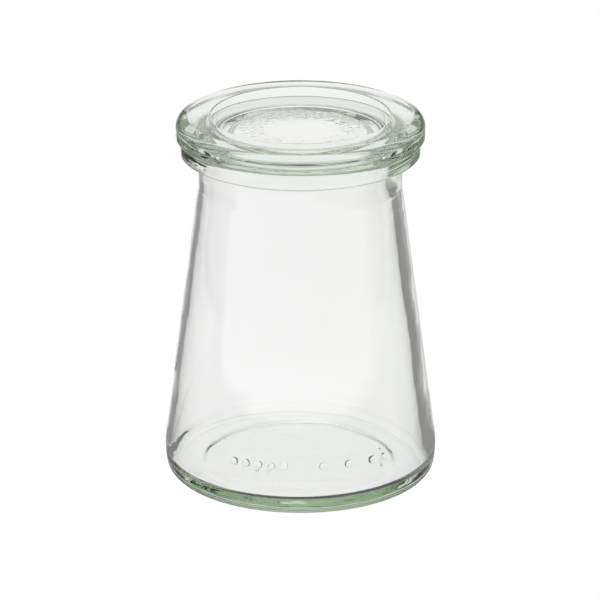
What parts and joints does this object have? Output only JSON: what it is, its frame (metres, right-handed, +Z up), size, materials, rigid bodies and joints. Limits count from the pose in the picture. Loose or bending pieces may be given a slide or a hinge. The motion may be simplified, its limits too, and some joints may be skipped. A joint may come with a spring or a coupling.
{
  "type": "glass preserving jar",
  "caption": "Small cone-shaped preserving jar of clear greenish glass, empty, with a flanged mouth and a loose dished glass lid resting on its rim.",
  "frame": {"origin": "centre of the flat ring that the jar stands on", "axes": "+Z up along the jar's axis, -Y towards the row of moulded dots, which is the side that the picture shows"},
  "size_m": [0.0768, 0.0768, 0.1062],
  "materials": {
    "jar_glass": "clear pressed glass with a faint green tint, smooth and glossy, knurled standing ring",
    "lid_glass": "clear pressed glass with a faint green tint, smooth and glossy"
  },
  "bodies": {
    "root": {"jar": "jar_glass", "lid": "lid_glass"}
  },
  "joints": []
}
